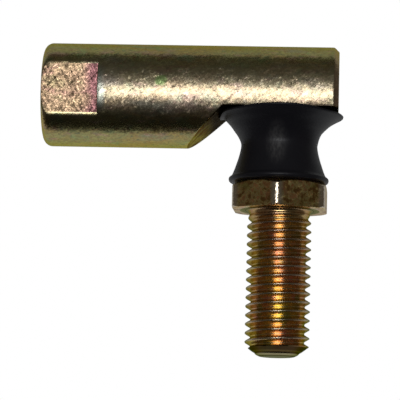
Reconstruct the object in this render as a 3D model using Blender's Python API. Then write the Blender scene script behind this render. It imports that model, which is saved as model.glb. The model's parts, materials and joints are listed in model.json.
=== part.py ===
# Right-angle ball-joint rod end.
#
# A plain round-bar housing with a female 5/16-24 UNF thread in one end and two
# wrench flats beside it. The other end holds a captive ball in a blind socket
# that opens downwards through a milled flat. A threaded stud with an integral
# hexagon hangs from the ball, and a waisted rubber boot seals the gap.
#
# Frame: the origin is the centre of the threaded end face, +X runs along the
# housing towards the ball, +Z is up, and the stud points down along -Z.
# Lengths below are in millimetres and are turned into metres by mm().

import math

import bmesh
import bpy
from mathutils import Matrix, Vector

# ---------------------------------------------------------------- dimensions

# 5/16-24 UNF thread, used for the housing's bore and for the stud
PITCH = 25.4 / 24.0
THREAD_R = 3.840            # stud, over the crests
THREAD_ROOT_R = 3.220       # stud, at the root
THREAD_RISE = 0.32          # lifts the stud's thread along its own helix
BORE_MAJOR_R = 4.000        # nut thread, at its root
BORE_MINOR_R = 3.430        # nut thread, over its crests
THREAD_COLUMNS = 16
THREAD_ROWS_PER_PITCH = 8

# housing bar
BAR_R = 6.20
BAR_LENGTH = 35.30
BAR_ROUND = 1.05            # rounded rim of the threaded end
BAR_CHAMFER = 0.58          # chamfered rim of the closed end
BAR_SEGMENTS = 64
BALL_X = 28.50              # threaded end face to the stud's axis
WRENCH_HALF = 5.31          # half the distance across the two wrench flats
WRENCH_LENGTH = 6.76
TAP_DEPTH = 15.0            # full thread
DRILL_DEPTH = 18.0          # to the start of the drill point
DRILL_POINT = math.radians(59.0)
MOUTH_R = 4.25              # countersink at the thread's mouth

# milled seat under the ball end, and the sloping relief beside it
SEAT_Z = -1.83
SEAT_EDGE_X = -6.80         # from the stud's axis
RELIEF_ANGLE = math.radians(45.0)
RELIEF_FILLET = 0.80

# socket
CAVITY_R = 4.85             # straight wall below the ball's centre
DOME_R = 4.95               # spherical roof above it
ROOF_Z = 4.55
LIP_R = 4.42                # swaged lip at the mouth
LIP_Z = -1.56               # where the lip starts

# ball and its races
BALL_R = 3.969              # 5/16 inch ball
BALL_TOP_Z = 3.35
BALL_BOTTOM_Z = -3.00
BALL_BORE_R = 1.45
BALL_SINK_R = 1.85
RACE_R = 4.01               # spherical inner face of both races
SPLIT_GAP = 0.05            # left between touching pieces

# stud
RIVET_R = 1.80
SPIGOT_R = 1.41
NECK_R = 2.50
HEX_TOP_Z = -10.40
HEX_BOTTOM_Z = -13.61
HEX_FLATS = 11.00
HEX_CHAMFER = math.radians(30.0)
HEX_TURN = math.radians(-2.5)
SHANK_R = 3.62
SEAT_FILLET = 0.42
THREAD_START_Z = -14.05
THREAD_GROWTH = 1.35        # length over which the thread deepens
TIP_CONE_Z = -29.76
TIP_Z = -31.00
TIP_R = 2.20

# dust boot, outer half-profile: (radius, height below the ball's centre)
BOOT_TOP_Z = -1.88
BOOT_RIM_R = 7.38
BOOT_WAIST_R = 4.55
BOOT_WAIST_Z = -5.85
BOOT_BASE_R = 6.00
BOOT_BASE_Z = -9.90
BOOT_BOTTOM_Z = -10.35
BOOT_WALL = 1.05
BOOT_SEGMENTS = 40


def mm(value):
    return value * 0.001


BALL_CENTRE = Vector((mm(BALL_X), 0.0, 0.0))

# ------------------------------------------------------------------- helpers


def clear_scene():
    for obj in list(bpy.data.objects):
        bpy.data.objects.remove(obj, do_unlink=True)
    for mesh in list(bpy.data.meshes):
        bpy.data.meshes.remove(mesh)
    for mat in list(bpy.data.materials):
        bpy.data.materials.remove(mat)


def make_material(name, colour, roughness, metallic):
    mat = bpy.data.materials.new(name)
    mat.use_nodes = True
    bsdf = mat.node_tree.nodes["Principled BSDF"]
    bsdf.inputs["Base Color"].default_value = (*colour, 1.0)
    bsdf.inputs["Roughness"].default_value = roughness
    bsdf.inputs["Metallic"].default_value = metallic
    mat.diffuse_color = (*colour, 1.0)
    return mat


def make_object(name, verts, faces, at=(0.0, 0.0, 0.0), turn=None):
    """A mesh object from points in millimetres, with its faces pointing out."""
    mesh = bpy.data.meshes.new(name)
    mesh.from_pydata([Vector(v) * 0.001 for v in verts], [], faces)
    bm = bmesh.new()
    bm.from_mesh(mesh)
    if turn is not None:
        bmesh.ops.transform(bm, matrix=turn, verts=bm.verts)
    bmesh.ops.recalc_face_normals(bm, faces=bm.faces)
    bm.to_mesh(mesh)
    bm.free()
    obj = bpy.data.objects.new(name, mesh)
    bpy.context.collection.objects.link(obj)
    obj.location = at
    return obj


def ring_surface(rings, closed):
    """Quads between successive rings of points; each ring is a list of points
    or a single pole point. A closed surface joins its last ring to its first."""
    verts, index = [], []
    for ring in rings:
        index.append(list(range(len(verts), len(verts) + len(ring))))
        verts += ring
    faces = []
    pairs = list(zip(index, index[1:]))
    if closed:
        pairs.append((index[-1], index[0]))
    for a, b in pairs:
        n = max(len(a), len(b))
        for j in range(n):
            k = (j + 1) % n
            if len(a) == 1:
                faces.append((a[0], b[k], b[j]))
            elif len(b) == 1:
                faces.append((a[j], a[k], b[0]))
            else:
                faces.append((a[j], a[k], b[k], b[j]))
    return verts, faces


def lathe(name, profile, segments, at=(0.0, 0.0, 0.0), turn=None):
    """Turn a half-profile [(radius, height)] about Z. A profile that starts
    and ends on the axis makes a solid; any other profile is a closed ring."""
    rings = []
    for r, z in profile:
        if r < 1e-6:
            rings.append([(0.0, 0.0, z)])
        else:
            rings.append([
                (r * math.cos(2 * math.pi * j / segments),
                 r * math.sin(2 * math.pi * j / segments), z)
                for j in range(segments)
            ])
    solid = profile[0][0] < 1e-6 and profile[-1][0] < 1e-6
    verts, faces = ring_surface(rings, closed=not solid)
    return make_object(name, verts, faces, at, turn)


def arc(radius, centre_z, start, end, steps):
    """Points (r, z) on a circle about (0, centre_z); angles are measured from
    the equator, positive upwards."""
    return [
        (radius * math.cos(start + (end - start) * i / steps),
         centre_z + radius * math.sin(start + (end - start) * i / steps))
        for i in range(steps + 1)
    ]


def extrude_outline(name, outline, half_width, at=(0.0, 0.0, 0.0)):
    """A prism with an XZ outline, running from -half_width to +half_width in Y."""
    n = len(outline)
    verts = [(x, -half_width, z) for x, z in outline]
    verts += [(x, half_width, z) for x, z in outline]
    faces = [tuple(range(n)), tuple(range(2 * n - 1, n - 1, -1))]
    faces += [(i, i + n, (i + 1) % n + n, (i + 1) % n) for i in range(n)]
    return make_object(name, verts, faces, at)


def box(name, low, high):
    (x0, y0, z0), (x1, y1, z1) = low, high
    verts = [(x, y, z) for x in (x0, x1) for y in (y0, y1) for z in (z0, z1)]
    faces = [(0, 1, 3, 2), (4, 6, 7, 5), (0, 4, 5, 1), (2, 3, 7, 6),
             (0, 2, 6, 4), (1, 5, 7, 3)]
    return make_object(name, verts, faces)


def combine(obj, tool, operation):
    """A Boolean modifier with an EXACT solver; the tool is a hidden guide."""
    mod = obj.modifiers.new(operation.lower() + "_" + tool.name, "BOOLEAN")
    mod.operation = operation
    mod.solver = "EXACT"
    mod.object = tool
    tool.hide_render = True
    tool.display_type = "WIRE"
    return mod


def finish(obj, material, angle=30.0):
    obj.data.materials.append(material)
    obj.data.shade_smooth()
    obj.data.set_sharp_from_angle(angle=math.radians(angle))
    return obj


def thread_radius(angle, height, crest, root):
    """Radius of a right-hand 60 degree thread: flat crests an eighth of the
    pitch wide, straight flanks, and a flat at the root."""
    phase = (height / PITCH - angle / (2 * math.pi)) % 1.0
    away = abs(phase - 0.5) * PITCH          # from the middle of the crest
    depth = (away - PITCH / 16) / math.tan(math.radians(30.0))
    return max(root, min(crest, crest - depth))


# ------------------------------------------------------------------- housing


def thread_cutter():
    """The tapped hole as a solid, about Z, with its mouth at height zero."""
    step = PITCH / THREAD_ROWS_PER_PITCH
    heights = [-1.0, 0.0]
    rows = int(TAP_DEPTH / step)
    heights += [step * (i + 1) for i in range(rows)]
    heights.append(DRILL_DEPTH)
    rings = [[(0.0, 0.0, -1.0)]]
    for h in heights:
        ring = []
        for j in range(THREAD_COLUMNS):
            a = 2 * math.pi * j / THREAD_COLUMNS
            # the last thread runs out over one pitch
            fade = min(1.0, max(0.0, (TAP_DEPTH - h) / PITCH))
            outer = BORE_MINOR_R + (BORE_MAJOR_R - BORE_MINOR_R) * fade
            r = thread_radius(a, h, BORE_MAJOR_R, BORE_MINOR_R)
            r = min(r, outer)
            r = max(r, MOUTH_R - max(h, 0.0))
            ring.append((r * math.cos(a), r * math.sin(a), h))
        rings.append(ring)
    point = DRILL_DEPTH + BORE_MINOR_R / math.tan(DRILL_POINT)
    rings.append([(0.0, 0.0, point)])
    verts, faces = ring_surface(rings, closed=False)
    # the hole's axis is the bar's: height runs along +X
    return make_object("tap_cutter", verts, faces,
                       turn=Matrix.Rotation(math.radians(90.0), 4, "Y"))


def seat_cutter(name, gap=0.0, deep=-BAR_R - 3.0):
    """Everything below the milled seat and outside the sloping relief, as one
    outline in XZ measured from the stud's axis, with a fillet between them.
    A gap keeps it clear of the metal: down from the seat and off the slope."""
    far = BAR_LENGTH - BALL_X + 3.0
    # the fillet is tangent to the seat (level) and to the relief (sloping)
    tangent = RELIEF_FILLET * math.tan(RELIEF_ANGLE / 2)
    centre = (SEAT_EDGE_X + tangent, SEAT_Z - RELIEF_FILLET)
    corner = []
    steps = 5
    for i in range(steps + 1):
        a = math.radians(90.0) + RELIEF_ANGLE * i / steps
        corner.append((centre[0] + RELIEF_FILLET * math.cos(a),
                       centre[1] + RELIEF_FILLET * math.sin(a)))
    low_x = corner[-1][0] - (corner[-1][1] - deep) / math.tan(RELIEF_ANGLE)
    outline = [(far, SEAT_Z)] + corner + [(low_x, deep), (far, deep)]
    away = gap / math.sin(RELIEF_ANGLE) - gap / math.tan(RELIEF_ANGLE)
    return extrude_outline(name, [(x + away, z - gap) for x, z in outline],
                           BAR_R + 2.0, at=BALL_CENTRE)


def socket_cutter():
    """The blind socket: a swaged lip, a straight wall and a domed roof."""
    start = math.asin(0.0)
    end = math.asin(ROOF_Z / DOME_R)
    dome = arc(DOME_R, 0.0, start, end, 8)
    profile = [(0.0, -BAR_R - 2.0), (LIP_R, -BAR_R - 2.0), (LIP_R, LIP_Z),
               (CAVITY_R, LIP_Z), (CAVITY_R, -0.40)]
    profile += [p for p in dome if p[1] > 0.3]
    profile += [(0.0, ROOF_Z)]
    return lathe("socket_cutter", profile, 40, at=BALL_CENTRE)


def build_housing(material):
    c = BAR_CHAMFER
    profile = [(0.0, 0.0)]
    for i in range(5):
        a = math.radians(90.0) * i / 4
        profile.append((BAR_R - BAR_ROUND * (1 - math.sin(a)),
                        BAR_ROUND * (1 - math.cos(a))))
    profile += [(BAR_R, BAR_LENGTH - c), (BAR_R - c, BAR_LENGTH),
                (0.0, BAR_LENGTH)]
    obj = lathe("housing", profile, BAR_SEGMENTS,
                turn=Matrix.Rotation(math.radians(90.0), 4, "Y"))
    for side in (-1, 1):
        near, far = side * WRENCH_HALF, side * (BAR_R + 2.0)
        flat = box("wrench_cutter_" + ("back" if side > 0 else "front"),
                   (-2.0, min(near, far), -BAR_R - 2.0),
                   (WRENCH_LENGTH, max(near, far), BAR_R + 2.0))
        combine(obj, flat, "DIFFERENCE")
    combine(obj, seat_cutter("seat_cutter"), "DIFFERENCE")
    combine(obj, socket_cutter(), "DIFFERENCE")
    combine(obj, thread_cutter(), "DIFFERENCE")
    return finish(obj, material)


# --------------------------------------------------------- ball and its races


def build_upper_race(material):
    """Cup over the ball's upper half, with a hole for the riveted stud end and
    a flat ring on top that the preload washer presses on."""
    outer = DOME_R - SPLIT_GAP
    top = 4.05
    hole = 1.20
    low = 0.40
    profile = []
    a0, a1 = math.asin(low / outer), math.asin(top / outer)
    profile += arc(outer, 0.0, a0, a1, 7)
    profile += [(hole, top)]
    b0, b1 = math.acos(hole / RACE_R), math.asin(low / RACE_R)
    profile += arc(RACE_R, 0.0, b0, b1, 10)
    return finish(lathe("upper_race", profile, 40, at=BALL_CENTRE), material)


def build_lower_race(material):
    """Ring round the ball just below its equator."""
    outer = CAVITY_R - SPLIT_GAP
    top, low = 0.40 - SPLIT_GAP, -1.00
    profile = [(outer, top), (outer, low)]
    a0, a1 = math.asin(low / RACE_R), math.asin(top / RACE_R)
    profile += arc(RACE_R, 0.0, a0, a1, 4)
    return finish(lathe("lower_race", profile, 40, at=BALL_CENTRE), material)


def build_retaining_ring(material):
    """Flat ring that the swaged lip holds against the lower race."""
    outer, inner = CAVITY_R - SPLIT_GAP, 4.00
    top, low = -1.00 - SPLIT_GAP, LIP_Z + SPLIT_GAP
    bevel = 0.06
    profile = [(outer, top - bevel), (outer, low + bevel),
               (outer - bevel, low), (inner + bevel, low),
               (inner, low + bevel), (inner, top - bevel),
               (inner + bevel, top), (outer - bevel, top)]
    return finish(lathe("retaining_ring", profile, 40, at=BALL_CENTRE), material)


def build_preload_washer(material):
    """Small disc spring between the socket's roof and the upper race."""
    thickness = 0.14
    rise = 0.26
    outer, inner = 1.92, 0.85
    low = 4.05 + SPLIT_GAP
    profile = [(outer, low), (outer, low + thickness),
               (inner, low + rise + thickness), (inner, low + rise)]
    return finish(lathe("preload_washer", profile, 32, at=BALL_CENTRE), material)


def build_ball(material):
    """Ball with a through bore, flat at both ends, countersunk at the top."""
    sink = BALL_SINK_R - BALL_BORE_R
    a0, a1 = math.asin(BALL_BOTTOM_Z / BALL_R), math.asin(BALL_TOP_Z / BALL_R)
    profile = arc(BALL_R, 0.0, a0, a1, 14)
    profile += [(BALL_SINK_R, BALL_TOP_Z), (BALL_BORE_R, BALL_TOP_Z - sink),
                (BALL_BORE_R, BALL_BOTTOM_Z)]
    return finish(lathe("ball", profile, 36, at=BALL_CENTRE), material)


# ---------------------------------------------------------------------- stud


def hexagon():
    """Hexagon with its upper corners turned off at 30 degrees. Its underside
    is flat right out to the corners."""
    corner_r = HEX_FLATS / 2 / math.cos(math.radians(30.0))
    ring = [
        (corner_r * math.cos(math.radians(60.0 * j - 90.0) + HEX_TURN),
         corner_r * math.sin(math.radians(60.0 * j - 90.0) + HEX_TURN))
        for j in range(6)
    ]
    verts = [(x, y, HEX_BOTTOM_Z) for x, y in ring]
    verts += [(x, y, HEX_TOP_Z) for x, y in ring]
    faces = [tuple(range(6)), tuple(range(11, 5, -1))]
    faces += [(i, i + 6, (i + 1) % 6 + 6, (i + 1) % 6) for i in range(6)]
    prism = make_object("stud_hexagon", verts, faces, at=BALL_CENTRE)
    # a cone trims the upper corners, leaving a round land on top
    land = HEX_FLATS / 2 * 0.955
    drop = (corner_r + 1.0 - land) * math.tan(HEX_CHAMFER)
    profile = [(0.0, HEX_BOTTOM_Z - 1.0), (corner_r + 1.0, HEX_BOTTOM_Z - 1.0),
               (corner_r + 1.0, HEX_TOP_Z - drop),
               (land, HEX_TOP_Z), (0.0, HEX_TOP_Z)]
    cone = lathe("stud_hexagon_turning", profile, 48, at=BALL_CENTRE)
    combine(prism, cone, "INTERSECT")
    return prism


def build_stud(material):
    """Riveted end, spigot, neck, blank shank and thread in one turned shape,
    joined to the hexagon."""
    n = THREAD_COLUMNS

    def ring(radius, z):
        return [(radius * math.cos(2 * math.pi * j / n),
                 radius * math.sin(2 * math.pi * j / n), z) for j in range(n)]

    rings = [[(0.0, 0.0, BALL_TOP_Z - 0.04)]]
    flare = RIVET_R - SPIGOT_R
    rings += [ring(RIVET_R, BALL_TOP_Z - 0.04),
              ring(SPIGOT_R, BALL_TOP_Z - 0.04 - flare),
              ring(SPIGOT_R, BALL_BOTTOM_Z - 0.04),
              ring(NECK_R, BALL_BOTTOM_Z - 0.04),
              ring(NECK_R, HEX_TOP_Z - 1.0)]
    # hidden inside the hexagon, then the fillet under it
    rings += [ring(SHANK_R + SEAT_FILLET, HEX_TOP_Z - 1.2),
              ring(SHANK_R + SEAT_FILLET, HEX_BOTTOM_Z)]
    for i in range(1, 5):
        a = math.radians(90.0) * i / 4
        rings.append(ring(SHANK_R + SEAT_FILLET * (1 - math.sin(a)),
                          HEX_BOTTOM_Z - SEAT_FILLET * (1 - math.cos(a))))
    step = PITCH / THREAD_ROWS_PER_PITCH
    z = THREAD_START_Z
    slope = (THREAD_R - TIP_R) / (TIP_CONE_Z - TIP_Z)
    while z > TIP_Z + step * 0.25:
        row = []
        for j in range(n):
            a = 2 * math.pi * j / n
            r = thread_radius(a, z - THREAD_RISE, THREAD_R, THREAD_ROOT_R)
            # the thread grows out of the blank shank over its first turns
            grow = min(1.0, max(0.0, (THREAD_START_Z - z) / THREAD_GROWTH))
            r = SHANK_R + (r - SHANK_R) * grow
            # and the tip is turned to a cone
            r = min(r, TIP_R + slope * (z - TIP_Z))
            row.append((r * math.cos(a), r * math.sin(a), z))
        rings.append(row)
        z -= step
    rings += [ring(TIP_R, TIP_Z), [(0.0, 0.0, TIP_Z)]]
    verts, faces = ring_surface(rings, closed=False)
    obj = make_object("stud", verts, faces, at=BALL_CENTRE)
    combine(obj, hexagon(), "UNION")
    return finish(obj, material)


# ----------------------------------------------------------------- dust boot


def boot_outer(t):
    """Outer radius of the boot's wall from the rim (t = 0) to the base
    (t = 1): two smooth flares that meet at the waist."""
    waist = (BOOT_TOP_Z - BOOT_WAIST_Z) / (BOOT_TOP_Z - BOOT_BASE_Z)
    if t < waist:
        s = 1.0 - t / waist
        return BOOT_WAIST_R + (BOOT_RIM_R - BOOT_WAIST_R) * s ** 2.6
    s = (t - waist) / (1.0 - waist)
    return BOOT_WAIST_R + (BOOT_BASE_R - BOOT_WAIST_R) * s ** 1.35


def build_boot(material):
    """Hollow waisted sleeve. Its rim lies under the milled seat and its base
    stands on the hexagon, round the neck."""
    steps = 12
    outer = []
    for i in range(steps + 1):
        t = i / steps
        z = BOOT_TOP_Z - 0.30 + (BOOT_BASE_Z - BOOT_TOP_Z + 0.30) * t
        outer.append((boot_outer(t), z))
    top = [(BOOT_RIM_R - 0.30, BOOT_TOP_Z)]
    bottom = [(BOOT_BASE_R - 0.35, BOOT_BOTTOM_Z),
              (NECK_R + 0.15, BOOT_BOTTOM_Z),
              (NECK_R + 0.15, BOOT_BOTTOM_Z + 0.80)]
    inner = []
    for i in range(6):
        t = 0.86 - 0.74 * i / 5
        z = BOOT_TOP_Z - 0.30 + (BOOT_BASE_Z - BOOT_TOP_Z + 0.30) * t
        inner.append((boot_outer(t) - BOOT_WALL, z))
    seal = [(4.75, BOOT_TOP_Z - 0.62), (4.75, BOOT_TOP_Z)]
    profile = top + outer + bottom + inner + seal
    obj = lathe("dust_boot", profile, BOOT_SEGMENTS, at=BALL_CENTRE)
    # the rim is pressed flat where it meets the sloping relief
    combine(obj, seat_cutter("boot_room", SPLIT_GAP, HEX_BOTTOM_Z), "INTERSECT")
    return finish(obj, material, 50.0)


# --------------------------------------------------------------------- build


def main():
    clear_scene()
    zinc = make_material("yellow_zinc_plate", (0.50, 0.40, 0.16), 0.34, 1.0)
    stud_zinc = make_material("stud_zinc_plate", (0.46, 0.38, 0.17), 0.36, 1.0)
    steel = make_material("hardened_steel", (0.55, 0.56, 0.58), 0.20, 1.0)
    spring = make_material("spring_steel", (0.36, 0.38, 0.42), 0.32, 1.0)
    bronze = make_material("bearing_bronze", (0.60, 0.42, 0.22), 0.38, 1.0)
    rubber = make_material("black_rubber", (0.012, 0.012, 0.013), 0.52, 0.0)
    build_housing(zinc)
    build_upper_race(bronze)
    build_lower_race(bronze)
    build_retaining_ring(steel)
    build_preload_washer(spring)
    build_ball(steel)
    build_stud(stud_zinc)
    build_boot(rubber)


main()
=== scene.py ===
# Looks of the right-angle ball-joint rod end: fine meshes, materials, light and
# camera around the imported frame. Lengths in the mesh code are millimetres and
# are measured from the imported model; everything else is in metres.

import json
import math

import bpy
import numpy as np
from mathutils import Matrix, Vector


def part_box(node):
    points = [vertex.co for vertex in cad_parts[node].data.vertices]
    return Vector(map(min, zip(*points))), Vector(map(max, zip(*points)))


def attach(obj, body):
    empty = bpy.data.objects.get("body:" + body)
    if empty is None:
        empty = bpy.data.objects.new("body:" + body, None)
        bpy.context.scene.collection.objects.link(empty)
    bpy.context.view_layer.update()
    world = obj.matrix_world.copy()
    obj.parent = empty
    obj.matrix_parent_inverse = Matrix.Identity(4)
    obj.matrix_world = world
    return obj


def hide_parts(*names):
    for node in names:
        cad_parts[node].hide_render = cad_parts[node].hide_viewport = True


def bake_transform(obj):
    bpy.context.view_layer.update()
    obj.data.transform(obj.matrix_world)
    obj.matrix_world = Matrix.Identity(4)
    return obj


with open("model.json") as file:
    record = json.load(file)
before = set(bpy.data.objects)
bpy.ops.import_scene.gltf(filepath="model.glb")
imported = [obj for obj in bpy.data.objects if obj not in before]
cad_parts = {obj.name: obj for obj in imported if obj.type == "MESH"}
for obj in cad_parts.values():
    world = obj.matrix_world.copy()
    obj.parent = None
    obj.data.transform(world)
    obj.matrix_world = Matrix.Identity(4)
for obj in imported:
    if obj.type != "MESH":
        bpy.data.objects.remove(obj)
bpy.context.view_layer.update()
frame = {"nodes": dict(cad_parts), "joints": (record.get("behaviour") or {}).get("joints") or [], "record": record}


def corners(node):
    low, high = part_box(node)
    return Vector(low) * 1000.0, Vector(high) * 1000.0


# ------------------------------------------------------- sizes from the frame

JOINTS = {j["name"]: j for j in frame["joints"]}
BALL = Vector(frame["record"]["behaviour"]["joints"][0]["pos_m"]) * 1000.0
HOUSING_LOW, HOUSING_HIGH = corners("housing")
STUD_LOW, STUD_HIGH = corners("stud")
BOOT_LOW, BOOT_HIGH = corners("dust_boot")

BAR_R = HOUSING_HIGH.z
BAR_LENGTH = HOUSING_HIGH.x
BAR_ROUND = 1.05             # rim of the threaded end
BAR_CHAMFER = 0.58           # rim of the closed end
WRENCH_HALF = 5.31
WRENCH_LENGTH = 6.76
SEAT_DEPTH = 1.83            # milled seat below the bar's axis
SEAT_EDGE_X = -6.80          # from the stud's axis
RELIEF_FILLET = 0.80

PITCH = 25.4 / 24.0
THREAD_R = 3.840
THREAD_ROOT_R = 3.220
NUT_MAJOR_R = 4.000
NUT_MINOR_R = 3.430
TAP_DEPTH = 15.0
DRILL_DEPTH = 18.0
MOUTH_R = 4.25

HEX_FLATS = 11.00
HEX_TURN = math.radians(-2.5)
HEX_TOP = -10.40
HEX_BOTTOM = -13.61
SHANK_R = 3.62
THREAD_START = -14.05
THREAD_GROWTH = 1.35         # length over which the thread reaches full depth
THREAD_SHIFT = 0.32          # height of a crest's middle at angle zero
TIP_CONE = -29.76
TIP = STUD_LOW.z
TIP_R = 2.20


# ------------------------------------------------------------------ materials


class Nodes:
    """Small helper that builds a procedural material."""

    def __init__(self, name):
        self.mat = bpy.data.materials.new(name)
        self.mat.use_nodes = True
        self.tree = self.mat.node_tree
        self.tree.nodes.clear()
        self.out = self.tree.nodes.new("ShaderNodeOutputMaterial")
        self.bsdf = self.tree.nodes.new("ShaderNodeBsdfPrincipled")
        self.link(self.bsdf.outputs["BSDF"], self.out.inputs["Surface"])
        self.place = self.tree.nodes.new("ShaderNodeTexCoord").outputs["Object"]

    def link(self, a, b):
        self.tree.links.new(a, b)

    def new(self, kind, **values):
        node = self.tree.nodes.new(kind)
        for key, value in values.items():
            setattr(node, key, value)
        return node

    def put(self, socket, value):
        if isinstance(value, bpy.types.NodeSocket):
            self.link(value, socket)
        else:
            socket.default_value = value

    def math(self, operation, a, b=0.0, c=None, clamp=False):
        node = self.new("ShaderNodeMath", operation=operation, use_clamp=clamp)
        self.put(node.inputs[0], a)
        self.put(node.inputs[1], b)
        if c is not None:
            self.put(node.inputs[2], c)
        return node.outputs[0]

    def vector(self, operation, a, b=None, scale=None):
        node = self.new("ShaderNodeVectorMath", operation=operation)
        self.put(node.inputs[0], a)
        if b is not None:
            self.put(node.inputs[1], b)
        if scale is not None:
            self.put(node.inputs["Scale"], scale)
        if operation in ("DOT_PRODUCT", "LENGTH", "DISTANCE"):
            return node.outputs["Value"]
        return node.outputs["Vector"]

    def stretched(self, scale, turn=(0.0, 0.0, 0.0), shift=(0.0, 0.0, 0.0)):
        """Coordinates turned first and scaled after, so a pattern that is
        drawn out (a scale under one) lies along the turned axis."""
        node = self.new("ShaderNodeMapping", vector_type="TEXTURE")
        self.link(self.place, node.inputs["Vector"])
        node.inputs["Location"].default_value = shift
        node.inputs["Rotation"].default_value = turn
        node.inputs["Scale"].default_value = tuple(1.0 / v for v in scale)
        return node.outputs["Vector"]

    def noise(self, per_mm, detail=2.0, roughness=0.5, at=None, distortion=0.0,
              colour=False):
        """Noise with about per_mm features in a millimetre."""
        node = self.new("ShaderNodeTexNoise")
        self.put(node.inputs["Vector"], at if at is not None else self.place)
        node.inputs["Scale"].default_value = per_mm * 1000.0
        node.inputs["Detail"].default_value = detail
        node.inputs["Roughness"].default_value = roughness
        node.inputs["Distortion"].default_value = distortion
        return node.outputs["Color" if colour else "Fac"]

    def hairlines(self, per_mm, turn, width, shift):
        """Thin long lines about the Y axis, 1 on a line and 0 off it."""
        field = self.noise(per_mm, 2.0, 0.5, self.stretched(
            (0.10, 1.0, 1.0), (0.0, math.radians(turn), 0.0), shift))
        off = self.math("ABSOLUTE", self.math("SUBTRACT", field, 0.5))
        return self.range(off, 0.0, width, 1.0, 0.0)

    def range(self, value, a, b, c=0.0, d=1.0, smooth=False):
        node = self.new("ShaderNodeMapRange")
        node.interpolation_type = "SMOOTHSTEP" if smooth else "LINEAR"
        self.put(node.inputs["Value"], value)
        for key, v in (("From Min", a), ("From Max", b), ("To Min", c), ("To Max", d)):
            node.inputs[key].default_value = v
        return node.outputs["Result"]

    def ramp(self, value, *stops):
        node = self.new("ShaderNodeValToRGB")
        self.put(node.inputs["Fac"], value)
        e = node.color_ramp.elements
        while len(e) > 1:
            e.remove(e[-1])
        e[0].position, e[0].color = stops[0][0], (*stops[0][1], 1.0)
        for position, colour in stops[1:]:
            new = e.new(position)
            new.color = (*colour, 1.0)
        return node.outputs["Color"]

    def mix(self, factor, a, b, kind="MIX"):
        node = self.new("ShaderNodeMix", data_type="RGBA", blend_type=kind)
        node.clamp_factor = True
        self.put(node.inputs[0], factor)
        for socket, v in ((node.inputs[6], a), (node.inputs[7], b)):
            self.put(socket, v if isinstance(v, bpy.types.NodeSocket) else (*v, 1.0))
        return node.outputs[2]

    def split(self, vector):
        node = self.new("ShaderNodeSeparateXYZ")
        self.put(node.inputs[0], vector)
        return node.outputs

    def tilt(self, *waves):
        """A normal tipped by noise: each wave is (colour noise, amount)."""
        normal = self.new("ShaderNodeNewGeometry").outputs["Normal"]
        total = normal
        for field, amount in waves:
            centred = self.vector("SUBTRACT", field, (0.5, 0.5, 0.5))
            total = self.vector("ADD", total,
                                self.vector("SCALE", centred, scale=amount))
        return self.vector("NORMALIZE", total)

    def set(self, **values):
        for key, value in values.items():
            socket = self.bsdf.inputs[key.replace("_", " ")]
            if isinstance(value, bpy.types.NodeSocket):
                self.link(value, socket)
            elif isinstance(value, tuple) and len(value) == 3 and "Color" in key \
                    or isinstance(value, tuple) and "Tint" in key:
                socket.default_value = (*value, 1.0)
            else:
                socket.default_value = value


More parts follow.
